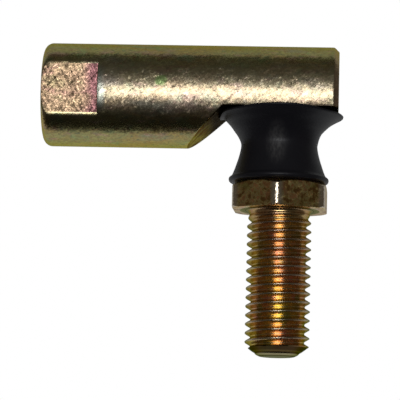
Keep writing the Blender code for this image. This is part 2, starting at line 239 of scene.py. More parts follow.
def zinc(name, kind="turned"):
    """Yellow dichromate over zinc: metal with a patchy olive, gold and pink
    film, mostly smooth, with scuffs and specks that scatter the light.
    kind is turned, milled, faced, relief, hexagon or thread."""
    n = Nodes(name)
    stud = kind in ("hexagon", "thread")
    along = (1.0, 1.0, 0.8) if stud else (0.40, 1.0, 1.0)
    slow = n.noise(0.20, 3.0, 0.55, n.stretched(along, shift=(0.9, 0.3, 0.4)))
    patch = n.noise(0.80, 4.0, 0.62, n.stretched(along, shift=(0.31, 0.17, 0.05)))
    drift = n.noise(0.50, 3.0, 0.6, n.stretched((1, 1, 1), shift=(0.05, 0.77, 0.5)))
    speck = n.noise(3.6, 3.0, 0.7, n.stretched((1, 1, 1), shift=(0.7, 0.2, 0.9)))
    scuff = n.noise(1.3, 6.0, 0.78,
                    n.stretched((0.6, 1.0, 1.0), (0.0, math.radians(-28.0), 0.0),
                                (0.2, 0.6, 0.1)), distortion=0.25)
    dirt = (0.34, 0.29, 0.17)
    if kind == "thread":
        film = n.ramp(slow, (0.32, (0.98, 0.58, 0.36)), (0.46, (1.0, 0.62, 0.26)),
                      (0.56, (1.0, 0.74, 0.26)), (0.68, (0.86, 0.72, 0.26)))
        pink, green, dirt = (1.0, 0.50, 0.42), (0.56, 0.62, 0.22), (0.46, 0.30, 0.12)
    elif kind == "hexagon":
        film = n.ramp(n.noise(1.15, 5.0, 0.68), (0.43, (0.48, 0.26, 0.09)),
                      (0.485, (1.0, 0.74, 0.28)), (0.53, (1.0, 0.92, 0.46)),
                      (0.58, (1.0, 0.54, 0.24)))
        pink, green, dirt = (1.0, 0.50, 0.28), (0.70, 0.66, 0.22), (0.46, 0.24, 0.10)
    elif kind == "milled":
        film = n.ramp(slow, (0.34, (0.88, 0.60, 0.43)), (0.50, (0.85, 0.63, 0.40)),
                      (0.62, (0.77, 0.61, 0.38)))
        pink, green = (0.80, 0.46, 0.40), (0.64, 0.55, 0.32)
    elif kind == "relief":
        film = n.ramp(n.noise(0.6, 3.0, 0.6), (0.40, (0.10, 0.08, 0.05)),
                      (0.48, (0.36, 0.30, 0.09)), (0.55, (0.66, 0.58, 0.20)),
                      (0.64, (0.22, 0.13, 0.05)))
        pink, green, dirt = (0.50, 0.26, 0.12), (0.40, 0.44, 0.16), (0.10, 0.08, 0.05)
    else:
        film = n.ramp(slow, (0.32, (0.64, 0.62, 0.48)), (0.42, (0.78, 0.72, 0.30)),
                      (0.50, (0.69, 0.67, 0.30)), (0.57, (0.80, 0.62, 0.25)),
                      (0.66, (0.54, 0.61, 0.41)))
        pink, green = (0.88, 0.58, 0.46), (0.52, 0.70, 0.34)
    colour = n.mix(n.range(patch, 0.53, 0.66, 0.0, 0.70, True), film, pink)
    colour = n.mix(n.range(drift, 0.43, 0.32, 0.0, 0.65, True), colour, green)
    colour = n.mix(n.range(speck, 0.48, 0.70, 0.0, 0.55), colour, dirt)
    if kind == "turned":
        # fine warm, dark and grey-green flecks
        fleck = n.noise(2.6, 4.0, 0.72, n.stretched((0.45, 1.0, 1.0),
                        (0.0, math.radians(-34.0), 0.0), (0.3, 0.8, 0.4)))
        colour = n.mix(n.range(fleck, 0.55, 0.66, 0.0, 0.75), colour, (0.60, 0.34, 0.22))
        colour = n.mix(n.range(fleck, 0.45, 0.36, 0.0, 0.65), colour, (0.34, 0.38, 0.26))
        # a paler band painted round the bar's sides at mid-height, where the lamp's highlight runs: painted
        # highlight colour
        height = n.math("ADD", n.split(n.place)["Z"],
                        n.math("MULTIPLY", n.math("SUBTRACT", patch, 0.5), 0.0040))
        highlight_band = n.range(n.math("ABSOLUTE", height), 0.0046, 0.0018, 0.0, 1.0, True)
        colour = n.mix(n.math("MULTIPLY", highlight_band, 0.46), colour, (0.83, 0.69, 0.65))
    if kind in ("turned", "milled"):
        lines = n.math("MAXIMUM", n.hairlines(1.3, 58.0, 0.065, (0.2, 0.1, 0.5)),
                       n.hairlines(1.1, -42.0, 0.055, (0.6, 0.3, 0.1)))
        colour = n.mix(n.math("MULTIPLY", lines, 0.42 if kind == "milled" else 0.25),
                       colour, (0.24, 0.16, 0.11))
    if kind == "relief":
        # painted shade: the film is darkened up against the boot, where the boot shades it and is reflected dark
        colour = n.mix(n.range(n.split(n.place)["X"], 0.0186, 0.0206, 0.0, 0.85, True),
                       colour, (0.07, 0.055, 0.035))
    if kind == "milled":
        # the film is thicker and magenta beside the step
        x = n.split(n.place)["X"]
        near = n.math("ADD", x, n.math("MULTIPLY", n.math("SUBTRACT", drift, 0.5), 0.0020))
        colour = n.mix(n.range(near, WRENCH_LENGTH * 0.001 - 0.0022,
                               WRENCH_LENGTH * 0.001 - 0.0003, 0.0, 0.95, True),
                       colour, (0.46, 0.21, 0.24))
    if kind == "turned":
        # a pale bluish film behind the step, brightened as a painted sheen within the flat's height, and a green
        # spot
        x = n.split(n.place)["X"]
        step = n.range(n.math("ADD", x, n.math(
            "MULTIPLY", n.math("SUBTRACT", drift, 0.5), 0.0016)),
            WRENCH_LENGTH * 0.001 + 0.0010, WRENCH_LENGTH * 0.001 + 0.0004, 0.0, 0.7)
        step = n.math("MULTIPLY", step, n.math("GREATER_THAN", x,
                                               WRENCH_LENGTH * 0.001 - 0.00002))
        height = n.math("ABSOLUTE", n.split(n.place)["Z"])
        step = n.math("MULTIPLY", step, n.range(height, 0.0032, 0.0020, 0.0, 1.0, True))
        colour = n.mix(step, colour, (0.66, 0.74, 0.70))
        away = n.vector("DISTANCE", n.place, (0.0143, -0.00614, 0.00086))
        away = n.math("ADD", away, n.math("MULTIPLY", n.math("SUBTRACT", patch, 0.5), 0.002))
        colour = n.mix(n.range(away, 0.0008, 0.0003, 0.0, 0.85, True), colour,
                       (0.60, 0.88, 0.36))
        # and browner round the rim of the closed end
        colour = n.mix(n.range(x, BAR_LENGTH * 0.001 - 0.0007,
                               BAR_LENGTH * 0.001 - 0.0005, 0.0, 0.7), colour,
                       (0.68, 0.48, 0.36))
    elif kind == "hexagon":
        # the corners are painted pale: rubbed film, and a painted highlight along each edge
        parts = n.split(n.place)
        dx = n.math("SUBTRACT", parts["X"], BALL.x * 0.001)
        off = n.math("SQRT", n.math("ADD", n.math("MULTIPLY", dx, dx),
                                    n.math("MULTIPLY", parts["Y"], parts["Y"])))
        colour = n.mix(n.range(off, 0.00592, 0.00612, 0.0, 0.85), colour,
                       (1.0, 0.90, 0.78))
    elif kind == "thread":
        # the film is rubbed thin on the crests
        parts = n.split(n.place)
        dx = n.math("SUBTRACT", parts["X"], BALL.x * 0.001)
        off = n.math("SQRT", n.math("ADD", n.math("MULTIPLY", dx, dx),
                                    n.math("MULTIPLY", parts["Y"], parts["Y"])))
        worn_crest = n.range(off, (THREAD_R - 0.10) * 0.001, (THREAD_R - 0.02) * 0.001,
                             0.0, 0.75)
        colour = n.mix(worn_crest, colour, (0.86, 0.79, 0.70))
        # rings turned round the tip's cone, painted as light and dark bands: painted shade below the last groove
        # and in a hollow of the cone, a painted highlight on its rounded lower edge; and a paler end face
        low = n.range(parts["Z"], TIP * 0.001, TIP_CONE * 0.001)
        tip_shade_and_highlight_bands = n.ramp(low, (0.0, (0.10, 0.08, 0.06)), (0.04, (0.14, 0.12, 0.08)),
                       (0.08, (0.62, 0.58, 0.36)), (0.20, (0.60, 0.55, 0.32)),
                       (0.27, (0.08, 0.05, 0.03)), (0.36, (0.06, 0.04, 0.02)),
                       (0.44, (0.18, 0.13, 0.06)), (0.55, (0.05, 0.03, 0.02)))
        tip_shade_and_highlight_bands = n.mix(n.range(off, (TIP_R - 0.22) * 0.001, (TIP_R - 0.40) * 0.001),
                      tip_shade_and_highlight_bands, (0.62, 0.50, 0.33))
        colour = n.mix(n.math("MULTIPLY", n.range(parts["Z"], TIP_CONE * 0.001,
                                                  TIP_CONE * 0.001 - 0.0002), 0.92),
                       colour, tip_shade_and_highlight_bands)
        # and pinker towards the hexagon
        colour = n.mix(n.range(parts["Z"], -0.0215, -0.0165, 0.0, 0.35, True), colour,
                       (0.76, 0.44, 0.38))
    tint = {"thread": (0.34, 0.42, 0.18), "hexagon": (0.98, 0.98, 0.94),
            "relief": (0.46, 0.40, 0.20)}.get(kind, (0.88, 0.84, 0.32))
    if kind == "relief":
        # seen at a low angle its colour is the tint, with painted shade darkening it towards the boot
        spots = n.range(patch, 0.46, 0.58, 0.0, 0.8, True)
        tint = n.mix(spots, (0.66, 0.60, 0.22), (0.34, 0.22, 0.08))
        tint = n.mix(n.range(n.split(n.place)["X"], 0.0186, 0.0206, 0.0, 1.0, True),
                     tint, (0.15, 0.12, 0.06))
    n.set(Base_Color=colour, Metallic=1.0, Specular_Tint=tint)
    grain = n.noise(4.5, 2.0, 0.6, colour=True)
    fibre = n.noise(2.3, 5.0, 0.75,
                    n.stretched((0.42, 1.0, 1.0), (0.0, math.radians(-34.0), 0.0),
                                (0.1, 0.4, 0.2)), distortion=0.2, colour=True)
    wave = n.noise(0.45, 2.0, 0.5, colour=True)
    worn = n.range(scuff, 0.46, 0.64, 0.0, 1.0, True)
    if kind == "milled":
        fine = n.noise(6.0, 2.0, 0.7, colour=True)
        down = n.noise(2.2, 3.0, 0.65,
                       n.stretched((0.16, 1.0, 1.4), (0.0, math.radians(62.0), 0.0)),
                       colour=True)
        rise = n.noise(1.8, 3.0, 0.65,
                       n.stretched((0.14, 1.0, 1.5), (0.0, math.radians(-50.0), 0.0),
                                   (0.4, 0.0, 0.1)), colour=True)
        coarse = n.noise(2.6, 3.0, 0.7, n.stretched((1, 1, 1), shift=(0.3, 0.0, 0.8)),
                         colour=True)
        n.set(Normal=n.tilt((fine, 0.50), (coarse, 0.66), (down, 0.60), (rise, 0.60)),
              Roughness=n.range(speck, 0.35, 0.65, 0.30, 0.56))
    elif kind == "thread":
        n.set(Normal=n.tilt((grain, 0.02), (wave, 0.04)),
              Roughness=n.range(worn, 0.0, 1.0, 0.25, 0.31))
    elif kind == "hexagon":
        n.set(Normal=n.tilt((grain, 0.36), (fibre, 0.66), (wave, 0.05)),
              Roughness=n.range(worn, 0.0, 1.0, 0.26, 0.42))
    elif kind in ("faced", "relief"):
        n.set(Normal=n.tilt((grain, 0.06), (fibre, 0.10), (wave, 0.04)),
              Roughness=n.range(worn, 0.0, 1.0, 0.20, 0.36))
    else:
        scuffed = n.math("MULTIPLY", highlight_band, worn)
        rough = n.math("MULTIPLY_ADD", highlight_band, 0.08, 0.25)
        n.set(Normal=n.tilt((grain, n.math("MULTIPLY_ADD", scuffed, 0.50, 0.16)),
                            (fibre, n.math("MULTIPLY_ADD", scuffed, 0.66, 0.26)),
                            (wave, 0.05)),
              Roughness=n.math("MULTIPLY_ADD", scuffed, 0.08, rough))
    return n.mat


def rubber(name):
    n = Nodes(name)
    soft = n.noise(0.35, 3.0, 0.5)
    fine = n.noise(6.0, 2.0, 0.6, colour=True)
    dust = n.noise(2.2, 4.0, 0.7)
    colour = n.mix(n.range(dust, 0.50, 0.75, 0.0, 0.35), (0.0200, 0.0200, 0.0270),
                   (0.0300, 0.0305, 0.0380))
    # a pale patch painted on the front of the waist as the lamp's sheen: painted highlight
    parts = n.split(n.place)
    dx = n.math("DIVIDE", n.math("SUBTRACT", parts["X"], BALL.x * 0.001 - 0.0004), 0.0013)
    dz = n.math("DIVIDE", n.math("ADD", parts["Z"], 0.0061), 0.0026)
    away = n.math("SQRT", n.math("ADD", n.math("MULTIPLY", dx, dx),
                                 n.math("MULTIPLY", dz, dz)))
    streak = n.noise(2.4, 3.0, 0.7, n.stretched((1.6, 1.0, 0.5), shift=(0.3, 0.1, 0.6)))
    painted_sheen = n.math("MULTIPLY", n.range(away, 1.25, 0.0, 0.0, 1.0, True),
                   n.range(streak, 0.40, 0.60, 0.35, 1.0))
    painted_sheen = n.math("MULTIPLY", painted_sheen, n.range(parts["Y"], -0.0020, -0.0035))
    colour = n.mix(n.math("MULTIPLY", painted_sheen, 0.9), colour, (0.125, 0.126, 0.134))
    n.set(Base_Color=colour, Metallic=0.0, Normal=n.tilt((fine, 0.20)),
          Specular_Tint=(0.88, 0.92, 1.0),
          Roughness=n.range(soft, 0.3, 0.7, 0.36, 0.42))
    n.bsdf.inputs["IOR"].default_value = 1.36
    return n.mat


def plain_metal(name, colour, roughness, per_mm=3.0):
    n = Nodes(name)
    field = n.noise(per_mm, 3.0, 0.6)
    n.set(Base_Color=n.mix(n.range(field, 0.35, 0.65, 0.0, 0.4), colour,
                           tuple(c * 0.7 for c in colour)),
          Metallic=1.0,
          Roughness=n.range(field, 0.3, 0.7, roughness * 0.8, roughness * 1.25),
          Normal=n.tilt((n.noise(per_mm * 2, 2.0, 0.6, colour=True), 0.04)))
    return n.mat


# -------------------------------------------------------------- mesh builders


def smooth_min(a, b, width):
    """The smaller of two radii, rounded where they meet."""
    h = np.maximum(width - np.abs(a - b), 0.0) / width
    return np.minimum(a, b) - h * h * width / 4.0


def smooth_max(a, b, width):
    return -smooth_min(-a, -b, width)


class Skin:
    """A closed surface built ring by ring. A ring is an (n, 3) array, or one
    point for a pole. Rings may halve or double their number of points."""

    def __init__(self):
        self.verts, self.faces, self.last, self.count = [], [], None, 0
        self.marks, self.mark = [], 0

    def add(self, ring):
        ring = np.asarray(ring, float).reshape(-1, 3)
        index = np.arange(self.count, self.count + len(ring))
        self.count += len(ring)
        self.verts.append(ring)
        if self.last is not None:
            self.join(self.last, index)
        self.last = index

    def face(self, *f):
        self.faces.append(tuple(int(i) for i in f))
        self.marks.append(self.mark)

    def join(self, a, b):
        na, nb = len(a), len(b)
        if na == nb:
            for j in range(na):
                k = (j + 1) % na
                self.face(a[j], a[k], b[k], b[j])
        elif na == 1:
            for j in range(nb):
                self.face(a[0], b[(j + 1) % nb], b[j])
        elif nb == 1:
            for j in range(na):
                self.face(a[j], a[(j + 1) % na], b[0])
        elif na == 2 * nb:
            for j in range(nb):
                k = (j + 1) % nb
                m = 2 * j
                self.face(a[m], a[m + 1], b[j])
                self.face(a[m + 1], b[k], b[j])
                self.face(a[m + 1], a[(m + 2) % na], b[k])
        elif nb == 2 * na:
            for j in range(na):
                k = (j + 1) % na
                m = 2 * j
                self.face(a[j], b[m + 1], b[m])
                self.face(a[j], a[k], b[m + 1])
                self.face(a[k], b[(m + 2) % nb], b[m + 1])
        else:
            raise ValueError("rings that don't match: %d and %d" % (na, nb))

    def helix(self, rows, per, forward):
        """Rows that climb one pitch (per rows) in a turn. The last column of a
        row meets the first column of the row a pitch further on (forward) or
        back. Rows beyond the ends are held on the end planes."""
        index = []
        for row in rows:
            row = np.asarray(row, float)
            index.append(np.arange(self.count, self.count + len(row)))
            self.count += len(row)
            self.verts.append(row)
        last = len(index) - 1
        n = len(index[0])
        first = index[0]
        if self.last is not None:
            self.join(self.last, first)
        for i in range(last):
            a, b = index[i], index[i + 1]
            for j in range(n - 1):
                self.face(a[j], a[j + 1], b[j + 1], b[j])
            step = per if forward else -per
            ka, kb = (min(last, max(0, v + step)) for v in (i, i + 1))
            if ka != kb:
                self.face(a[-1], index[ka][0], index[kb][0], b[-1])
            else:
                self.face(a[-1], index[ka][0], b[-1])
        self.last = index[last]

    def object(self, name, close=False):
        if close:
            self.join(self.last, np.arange(0, len(self.verts[0])))
        verts = np.vstack(self.verts) * 0.001
        mesh = bpy.data.meshes.new(name)
        mesh.from_pydata(verts.tolist(), [], self.faces)
        mesh.polygons.foreach_set("material_index", self.marks)
        obj = bpy.data.objects.new(name, mesh)
        bpy.context.scene.collection.objects.link(obj)
        return obj


def tidy(obj, distance=2e-7):
    """Weld coincident points, drop flat faces and point the rest outwards."""
    import bmesh
    bm = bmesh.new()
    bm.from_mesh(obj.data)
    bmesh.ops.remove_doubles(bm, verts=bm.verts, dist=distance)
    bmesh.ops.dissolve_degenerate(bm, edges=bm.edges, dist=distance)
    bmesh.ops.recalc_face_normals(bm, faces=bm.faces)
    bm.to_mesh(obj.data)
    bm.free()
    obj.data.update()


def dress(obj, materials, sharp=50.0):
    obj.data.materials.clear()
    for m in materials:
        obj.data.materials.append(m)
    obj.data.shade_smooth()
    obj.data.set_sharp_from_angle(angle=math.radians(sharp))


def apply_modifiers(obj):
    bpy.context.view_layer.update()
    graph = bpy.context.evaluated_depsgraph_get()
    mesh = bpy.data.meshes.new_from_object(obj.evaluated_get(graph))
    old = obj.data
    obj.modifiers.clear()
    obj.data = mesh
    mesh.name = obj.name
    bpy.data.meshes.remove(old)


def cut(obj, tool, operation="DIFFERENCE"):
    mod = obj.modifiers.new("cut", "BOOLEAN")
    mod.operation, mod.solver, mod.object = operation, "EXACT", tool
    apply_modifiers(obj)
    mesh = tool.data
    bpy.data.objects.remove(tool, do_unlink=True)
    bpy.data.meshes.remove(mesh)


def around(n):
    return np.arange(n) * (2 * math.pi / n)


def thread_depth(phase, crest, root, crest_flat, soften):
    """Radius of a 60 degree thread; phase 0.5 is the middle of the crest."""
    away = np.abs((phase % 1.0) - 0.5) * PITCH
    flank = crest - (away - crest_flat * PITCH / 2) / math.tan(math.radians(30.0))
    return smooth_max(smooth_min(flank, np.full_like(flank, crest), soften),
                      np.full_like(flank, root), soften * 1.6)


# -------------------------------------------------------------------- housing

COLUMNS = 360
BORE_COLUMNS = 180


def bar_point(x, radius, angle):
    """A ring of points about the bar's axis: the angle starts at +Y."""
    x = np.broadcast_to(x, angle.shape)
    return np.stack([x, radius * np.cos(angle), radius * np.sin(angle)], 1)


def seat_drop(x):
    """How far below the axis the material ends: the milled seat, the fillet
    and the sloping relief. x is measured from the threaded end."""
    u = x - BALL.x
    slope = math.radians(45.0)
    tangent = RELIEF_FILLET * math.tan(slope / 2)
    cx = SEAT_EDGE_X + tangent
    cz = -SEAT_DEPTH - RELIEF_FILLET
    ex = cx - RELIEF_FILLET * math.sin(slope)
    ez = cz + RELIEF_FILLET * math.cos(slope)
    if u >= cx:
        return SEAT_DEPTH
    if u >= ex:
        return -(cz + math.sqrt(RELIEF_FILLET ** 2 - (u - cx) ** 2))
    return -(ez - (ex - u) * math.tan(slope))


def bar_radius(x, angle, flats=True):
    edge = 0.16
    r = np.full_like(angle, BAR_R)
    if x < BAR_ROUND:
        across = math.sqrt(max(0.0, BAR_ROUND ** 2 - (BAR_ROUND - x) ** 2))
        r = np.full_like(angle, BAR_R - BAR_ROUND + across)
    c = BAR_CHAMFER
    r = smooth_min(r, np.full_like(angle, BAR_R - c + BAR_LENGTH - x), 0.14)
    if flats and x <= WRENCH_LENGTH:
        flat = WRENCH_HALF / np.maximum(np.abs(np.cos(angle)), 1e-6)
        r = smooth_min(r, flat, edge)
    down = np.maximum(-np.sin(angle), 1e-6)
    drop = seat_drop(x) / down
    return smooth_min(r, drop, edge)


def build_housing(turned, milled, faced, relief):
    a = around(COLUMNS)
    skin = Skin()
    # closed end: flat face from the middle out, with a rounded rim
    skin.mark = 2
    skin.add([(BAR_LENGTH, 0.0, 0.0)])
    rim = bar_radius(BAR_LENGTH - 0.02, a)
    for f in (0.1, 0.35, 0.6, 0.8, 0.93):
        skin.add(bar_point(BAR_LENGTH, rim * f, a))
    skin.add(bar_point(BAR_LENGTH, rim - 0.05, a))
    skin.mark = 0
    # along the bar to the threaded end
    xs = [0.02, 0.08, 0.2, 0.35, 0.46, 0.54, 0.62, 0.70, 0.85]
    xs = [BAR_LENGTH - x for x in xs]
    edge = BALL.x + SEAT_EDGE_X
    xs += list(np.linspace(BAR_LENGTH - 1.6, edge + 0.5, 12))
    low = edge - (BAR_R - SEAT_DEPTH) - 0.3
    xs += list(np.linspace(edge + 0.42, low, 84))
    xs += list(np.linspace(low - 0.4, WRENCH_LENGTH + 0.4, 12))
    for x in xs:
        skin.add(bar_point(x, bar_radius(x, a), a))
    # wall at the end of the wrench flats, with a rounded upper edge
    full = bar_radius(WRENCH_LENGTH + 0.4, a)
    flat = bar_radius(WRENCH_LENGTH - 0.01, a)
    cut_here = flat < full - 1e-4
    soft = 0.09
    for k in range(5):
        t = math.radians(90.0) * (1 - k / 4)
        x = WRENCH_LENGTH + soft * (1 - math.cos(t))
        r = full - soft * (1 - math.sin(t))
        skin.add(bar_point(x, np.where(cut_here, np.maximum(flat, r), full), a))
    skin.mark = 3
    skin.add(bar_point(WRENCH_LENGTH, flat, a))
    skin.mark = 1
    for x in np.linspace(WRENCH_LENGTH - 0.2, BAR_ROUND + 0.05, 8):
        skin.add(bar_point(x, bar_radius(x, a), a))
    for i in range(15):
        x = BAR_ROUND * (1 - math.sin(math.radians(90.0) * i / 14))
        skin.add(bar_point(x, bar_radius(x, a), a))
    # end face, and the countersunk mouth of the thread
    skin.mark = 2
    rim = bar_radius(0.0, a)
    skin.add(bar_point(0.0, rim * 0.99, a))
    skin.add(bar_point(0.0, rim * 0.93, a))
    skin.add(bar_point(0.0, np.full(COLUMNS, MOUTH_R + 0.12), a))
    b = around(BORE_COLUMNS)
    skin.add(bar_point(0.0, np.full(BORE_COLUMNS, MOUTH_R + 0.04), b))
    skin.mark = 0
    # the female thread: rows follow the helix and are held inside its length
    per = 12
    count = int(math.ceil(TAP_DEPTH / PITCH * per)) + per + 1
    rows = []
    for i in range(count):
        x = np.clip(i * PITCH / per - PITCH + PITCH * b / (2 * math.pi),
                    0.0, TAP_DEPTH)
        # seen along +X, a right-hand thread turns from +Y towards +Z
        phase = x / PITCH - b / (2 * math.pi)
        nut = -thread_depth(phase, -NUT_MINOR_R, -NUT_MAJOR_R, 0.25, 0.03)
        fade = np.clip((TAP_DEPTH - x) / PITCH, 0.0, 1.0)
        nut = NUT_MINOR_R + (nut - NUT_MINOR_R) * fade
        r = smooth_max(nut, MOUTH_R + 0.04 - x, 0.05)
        rows.append(bar_point(x, r, b))
    skin.helix(rows, per, True)
    skin.add(bar_point(DRILL_DEPTH, np.full(BORE_COLUMNS, NUT_MINOR_R), b))
    point = DRILL_DEPTH + NUT_MINOR_R / math.tan(math.radians(59.0))
    for f in (0.66, 0.33):
        skin.add(bar_point(DRILL_DEPTH + (point - DRILL_DEPTH) * (1 - f),
                           np.full(BORE_COLUMNS, NUT_MINOR_R * f), b))
    skin.add([(point, 0.0, 0.0)])
    obj = skin.object("housing_body")
    tidy(obj)
    # the ball's socket: swaged lip, straight wall, domed roof
    tool = Skin()
    c = around(96)

    def ring(r, z):
        return np.stack([BALL.x + r * np.cos(c), r * np.sin(c),
                         np.full(96, z)], 1)

    tool.add([(BALL.x, 0.0, -9.0)])
    for r, z in ((4.42, -9.0), (4.42, -1.64), (4.50, -1.56), (4.85, -1.56),
                 (4.85, -0.40)):
        tool.add(ring(r, z))
    for t in np.linspace(math.asin(0.35 / 4.95), math.asin(4.55 / 4.95), 16):
        tool.add(ring(4.95 * math.cos(t), 4.95 * math.sin(t)))
    tool.add([(BALL.x, 0.0, 4.55)])
    cutter = tool.object("socket_tool")
    tidy(cutter)
    cut(obj, cutter)
    # give each face its finish by where it lies
    dress(obj, [turned, milled, faced, relief], 42.0)
    mesh = obj.data
    for p in mesh.polygons:
        centre, normal = p.center * 1000.0, p.normal
        index = 0
        if centre.x < WRENCH_LENGTH + 0.01 and abs(normal.y) > 0.9985 \
                and abs(abs(centre.y) - WRENCH_HALF) < 0.05:
            index = 1
        elif abs(normal.x) > 0.9 and (centre.x < 0.05 or centre.x > BAR_LENGTH - 0.05):
            index = 2
        elif centre.x > BALL.x - 12 and normal.z < -0.6 \
                and -centre.z < seat_drop(centre.x) + 0.05 and \
                math.hypot(centre.y, centre.z) < BAR_R - 0.02:
            index = 3
        p.material_index = index
    return obj


# ----------------------------------------------------------------------- stud


def build_stud(metals):
    n = 192
    a = around(n)
    skin = Skin()

    def ring(r, z, angle=a):
        r = np.broadcast_to(r, angle.shape)
        z = np.broadcast_to(z, angle.shape)
        return np.stack([BALL.x + r * np.cos(angle), BALL.y + r * np.sin(angle),
                         z], 1)

    top = STUD_HIGH.z
    skin.add([(BALL.x, 0.0, top)])
    # the riveted end and spigot stay clear of the flats of the ball's bore
    for r, z in ((0.8, top), (1.62, top), (1.69, top - 0.02), (1.70, top - 0.05),
                 (1.36, top - 0.40), (1.36, -3.00), (1.39, -3.04), (2.44, -3.04),
                 (2.50, -3.10), (2.50, -9.9), (2.52, -10.2), (2.60, -10.34),
                 (2.72, HEX_TOP)):
        skin.add(ring(r, z))
    # hexagon: a star-shaped section, six flats with eased corners, chamfered
    # above by a 30 degree cone
    m = 2 * n
    h = around(m) + math.radians(-90.0) + HEX_TURN
    sector = (np.degrees(around(m)) + 30.0) % 60.0 - 30.0
    # corners lie at multiples of 60 degrees, so the flats' middles are between
    mid = np.radians(30.0 - np.abs(sector))
    flats = HEX_FLATS / 2 / np.cos(mid)
    corner = HEX_FLATS / 2 / math.cos(math.radians(30.0))
    hexagon = smooth_min(flats, np.full(m, corner - 0.11), 0.06)
    land = HEX_FLATS / 2 * 0.955
    slope = math.tan(math.radians(30.0))
    skin.add(ring(land * 0.8, HEX_TOP))
    skin.add(ring(land * 0.9, HEX_TOP, h))
    skin.add(ring(land - 0.04, HEX_TOP, h))
    height = HEX_TOP - HEX_BOTTOM
    steps = [0.0, 0.01, 0.03, 0.06]
    steps += list(np.linspace(0.10, 0.80, 16))
    steps += [1.0, 1.6, 2.4, height - 0.30, height - 0.18]
    for s in steps:
        cone = np.full(m, land + s / slope)
        skin.add(ring(smooth_min(hexagon, cone, 0.07), HEX_TOP - s, h))
    # the underside is flat, with its corners only just broken
    for d in (0.12, 0.08, 0.04, 0.015, 0.0):
        ease = 0.05 * (1 - math.sqrt(max(0.0, 1 - (1 - min(d, 0.08) / 0.08) ** 2)))
        corner_cut = np.full(m, corner - 0.42 + d / slope)
        skin.add(ring(smooth_min(hexagon - ease, corner_cut, 0.05),
                      HEX_BOTTOM + d, h))
    skin.add(ring(HEX_FLATS / 2 * 0.93, HEX_BOTTOM, h))
    skin.add(ring(HEX_FLATS / 2 * 0.86, HEX_BOTTOM, h))
    # back to the shank's own columns, through a fillet
    fillet = 0.42
    skin.add(ring(SHANK_R + fillet + 0.05, HEX_BOTTOM))
    for i in range(9):
        t = math.radians(90.0) * i / 8
        skin.add(ring(SHANK_R + fillet * (1 - math.sin(t)),
                      HEX_BOTTOM - fillet * (1 - math.cos(t))))
    # thread: rows follow the helix, held between the shank and the tip
    per = 20
    length = THREAD_START - TIP
    count = int(math.ceil(length / PITCH * per)) + per + 1
    cone_slope = (THREAD_R - TIP_R) / (TIP_CONE - TIP)
    rows = []
    for i in range(count):
        z = THREAD_START - i * PITCH / per + PITCH * a / (2 * math.pi)
        z = np.clip(z, TIP + 0.03, THREAD_START)
        phase = (z - THREAD_SHIFT) / PITCH - a / (2 * math.pi)
        r = thread_depth(phase, THREAD_R, THREAD_ROOT_R, 0.135, 0.085)
        # the first turns are only half formed next to the hexagon
        grow = np.clip((THREAD_START - z) / THREAD_GROWTH, 0.0, 1.0)
        grow = grow ** 0.8
        r = SHANK_R + (r - SHANK_R) * grow
        # the tip's cone, with the last groove's ring turned round it
        cone = TIP_R + cone_slope * (z - TIP)
        cone = cone - 0.07 * np.exp(-((z - TIP - 0.42) / 0.09) ** 2)
        cone = cone - 0.16 * np.clip(1 - (z - TIP) / 0.22, 0.0, 1.0) ** 2
        r = smooth_min(r, cone, 0.06)
        rows.append(ring(r, z))
    skin.helix(rows, per, False)
    for r, z in ((TIP_R - 0.19, TIP), (TIP_R * 0.8, TIP), (TIP_R * 0.4, TIP)):
        skin.add(ring(r, z))
    skin.add([(BALL.x, 0.0, TIP)])
    obj = skin.object("stud_body")
    tidy(obj)
    dress(obj, metals, 38.0)
    for p in obj.data.polygons:
        centre = p.center * 1000.0
        off = math.hypot(centre.x - BALL.x, centre.y)
        p.material_index = int(off > SHANK_R + 0.5)
    return obj


# ----------------------------------------------------------------------- boot


def smooth_curve(points, count):
    """Catmull-Rom curve through points, evenly spread."""
    p = np.array(points, float)
    ext = np.vstack([2 * p[0] - p[1], p, 2 * p[-1] - p[-2]])
    out = []
    for i in range(1, len(ext) - 2):
        p0, p1, p2, p3 = ext[i - 1:i + 3]
        for t in np.linspace(0, 1, 24, endpoint=False):
            out.append(0.5 * (2 * p1 + (p2 - p0) * t
                              + (2 * p0 - 5 * p1 + 4 * p2 - p3) * t * t
                              + (3 * p1 - p0 - 3 * p2 + p3) * t ** 3))
    out.append(p[-1])
    out = np.array(out)
    s = np.concatenate([[0], np.cumsum(np.hypot(*np.diff(out, axis=0).T))])
    want = np.linspace(0, s[-1], count)
    return np.stack([np.interp(want, s, out[:, 0]), np.interp(want, s, out[:, 1])], 1)


WAIST = (4.55, -5.85)
BOOT_OFFSET = -0.20
# rim, rounded edge and upper flare, down to the waist
BOOT_UPPER = [(7.06, -1.90), (7.25, -1.91), (7.36, -1.96), (7.39, -2.04),
              (7.37, -2.12), (7.30, -2.19), (7.14, -2.30), (6.88, -2.52),
              (6.52, -2.88), (6.06, -3.31), (5.60, -3.84), (5.16, -4.40),
              (4.82, -4.96), (4.61, -5.44)]
# lower flare, bottom bead and its underside, down from the waist
BOOT_LOWER = [(4.60, -6.30), (4.74, -6.95), (4.92, -7.60), (5.12, -8.20),
              (5.31, -8.76), (5.47, -9.16), (5.60, -9.44), (5.76, -9.60),
              (5.92, -9.72), (5.97, -9.90), (5.92, -10.10), (5.76, -10.25),
              (5.40, -10.35)]


def relief_limit(x):
    """Highest place rubber can be at x, measured from the stud's axis."""
    return -seat_drop(x + BALL.x) - 0.06


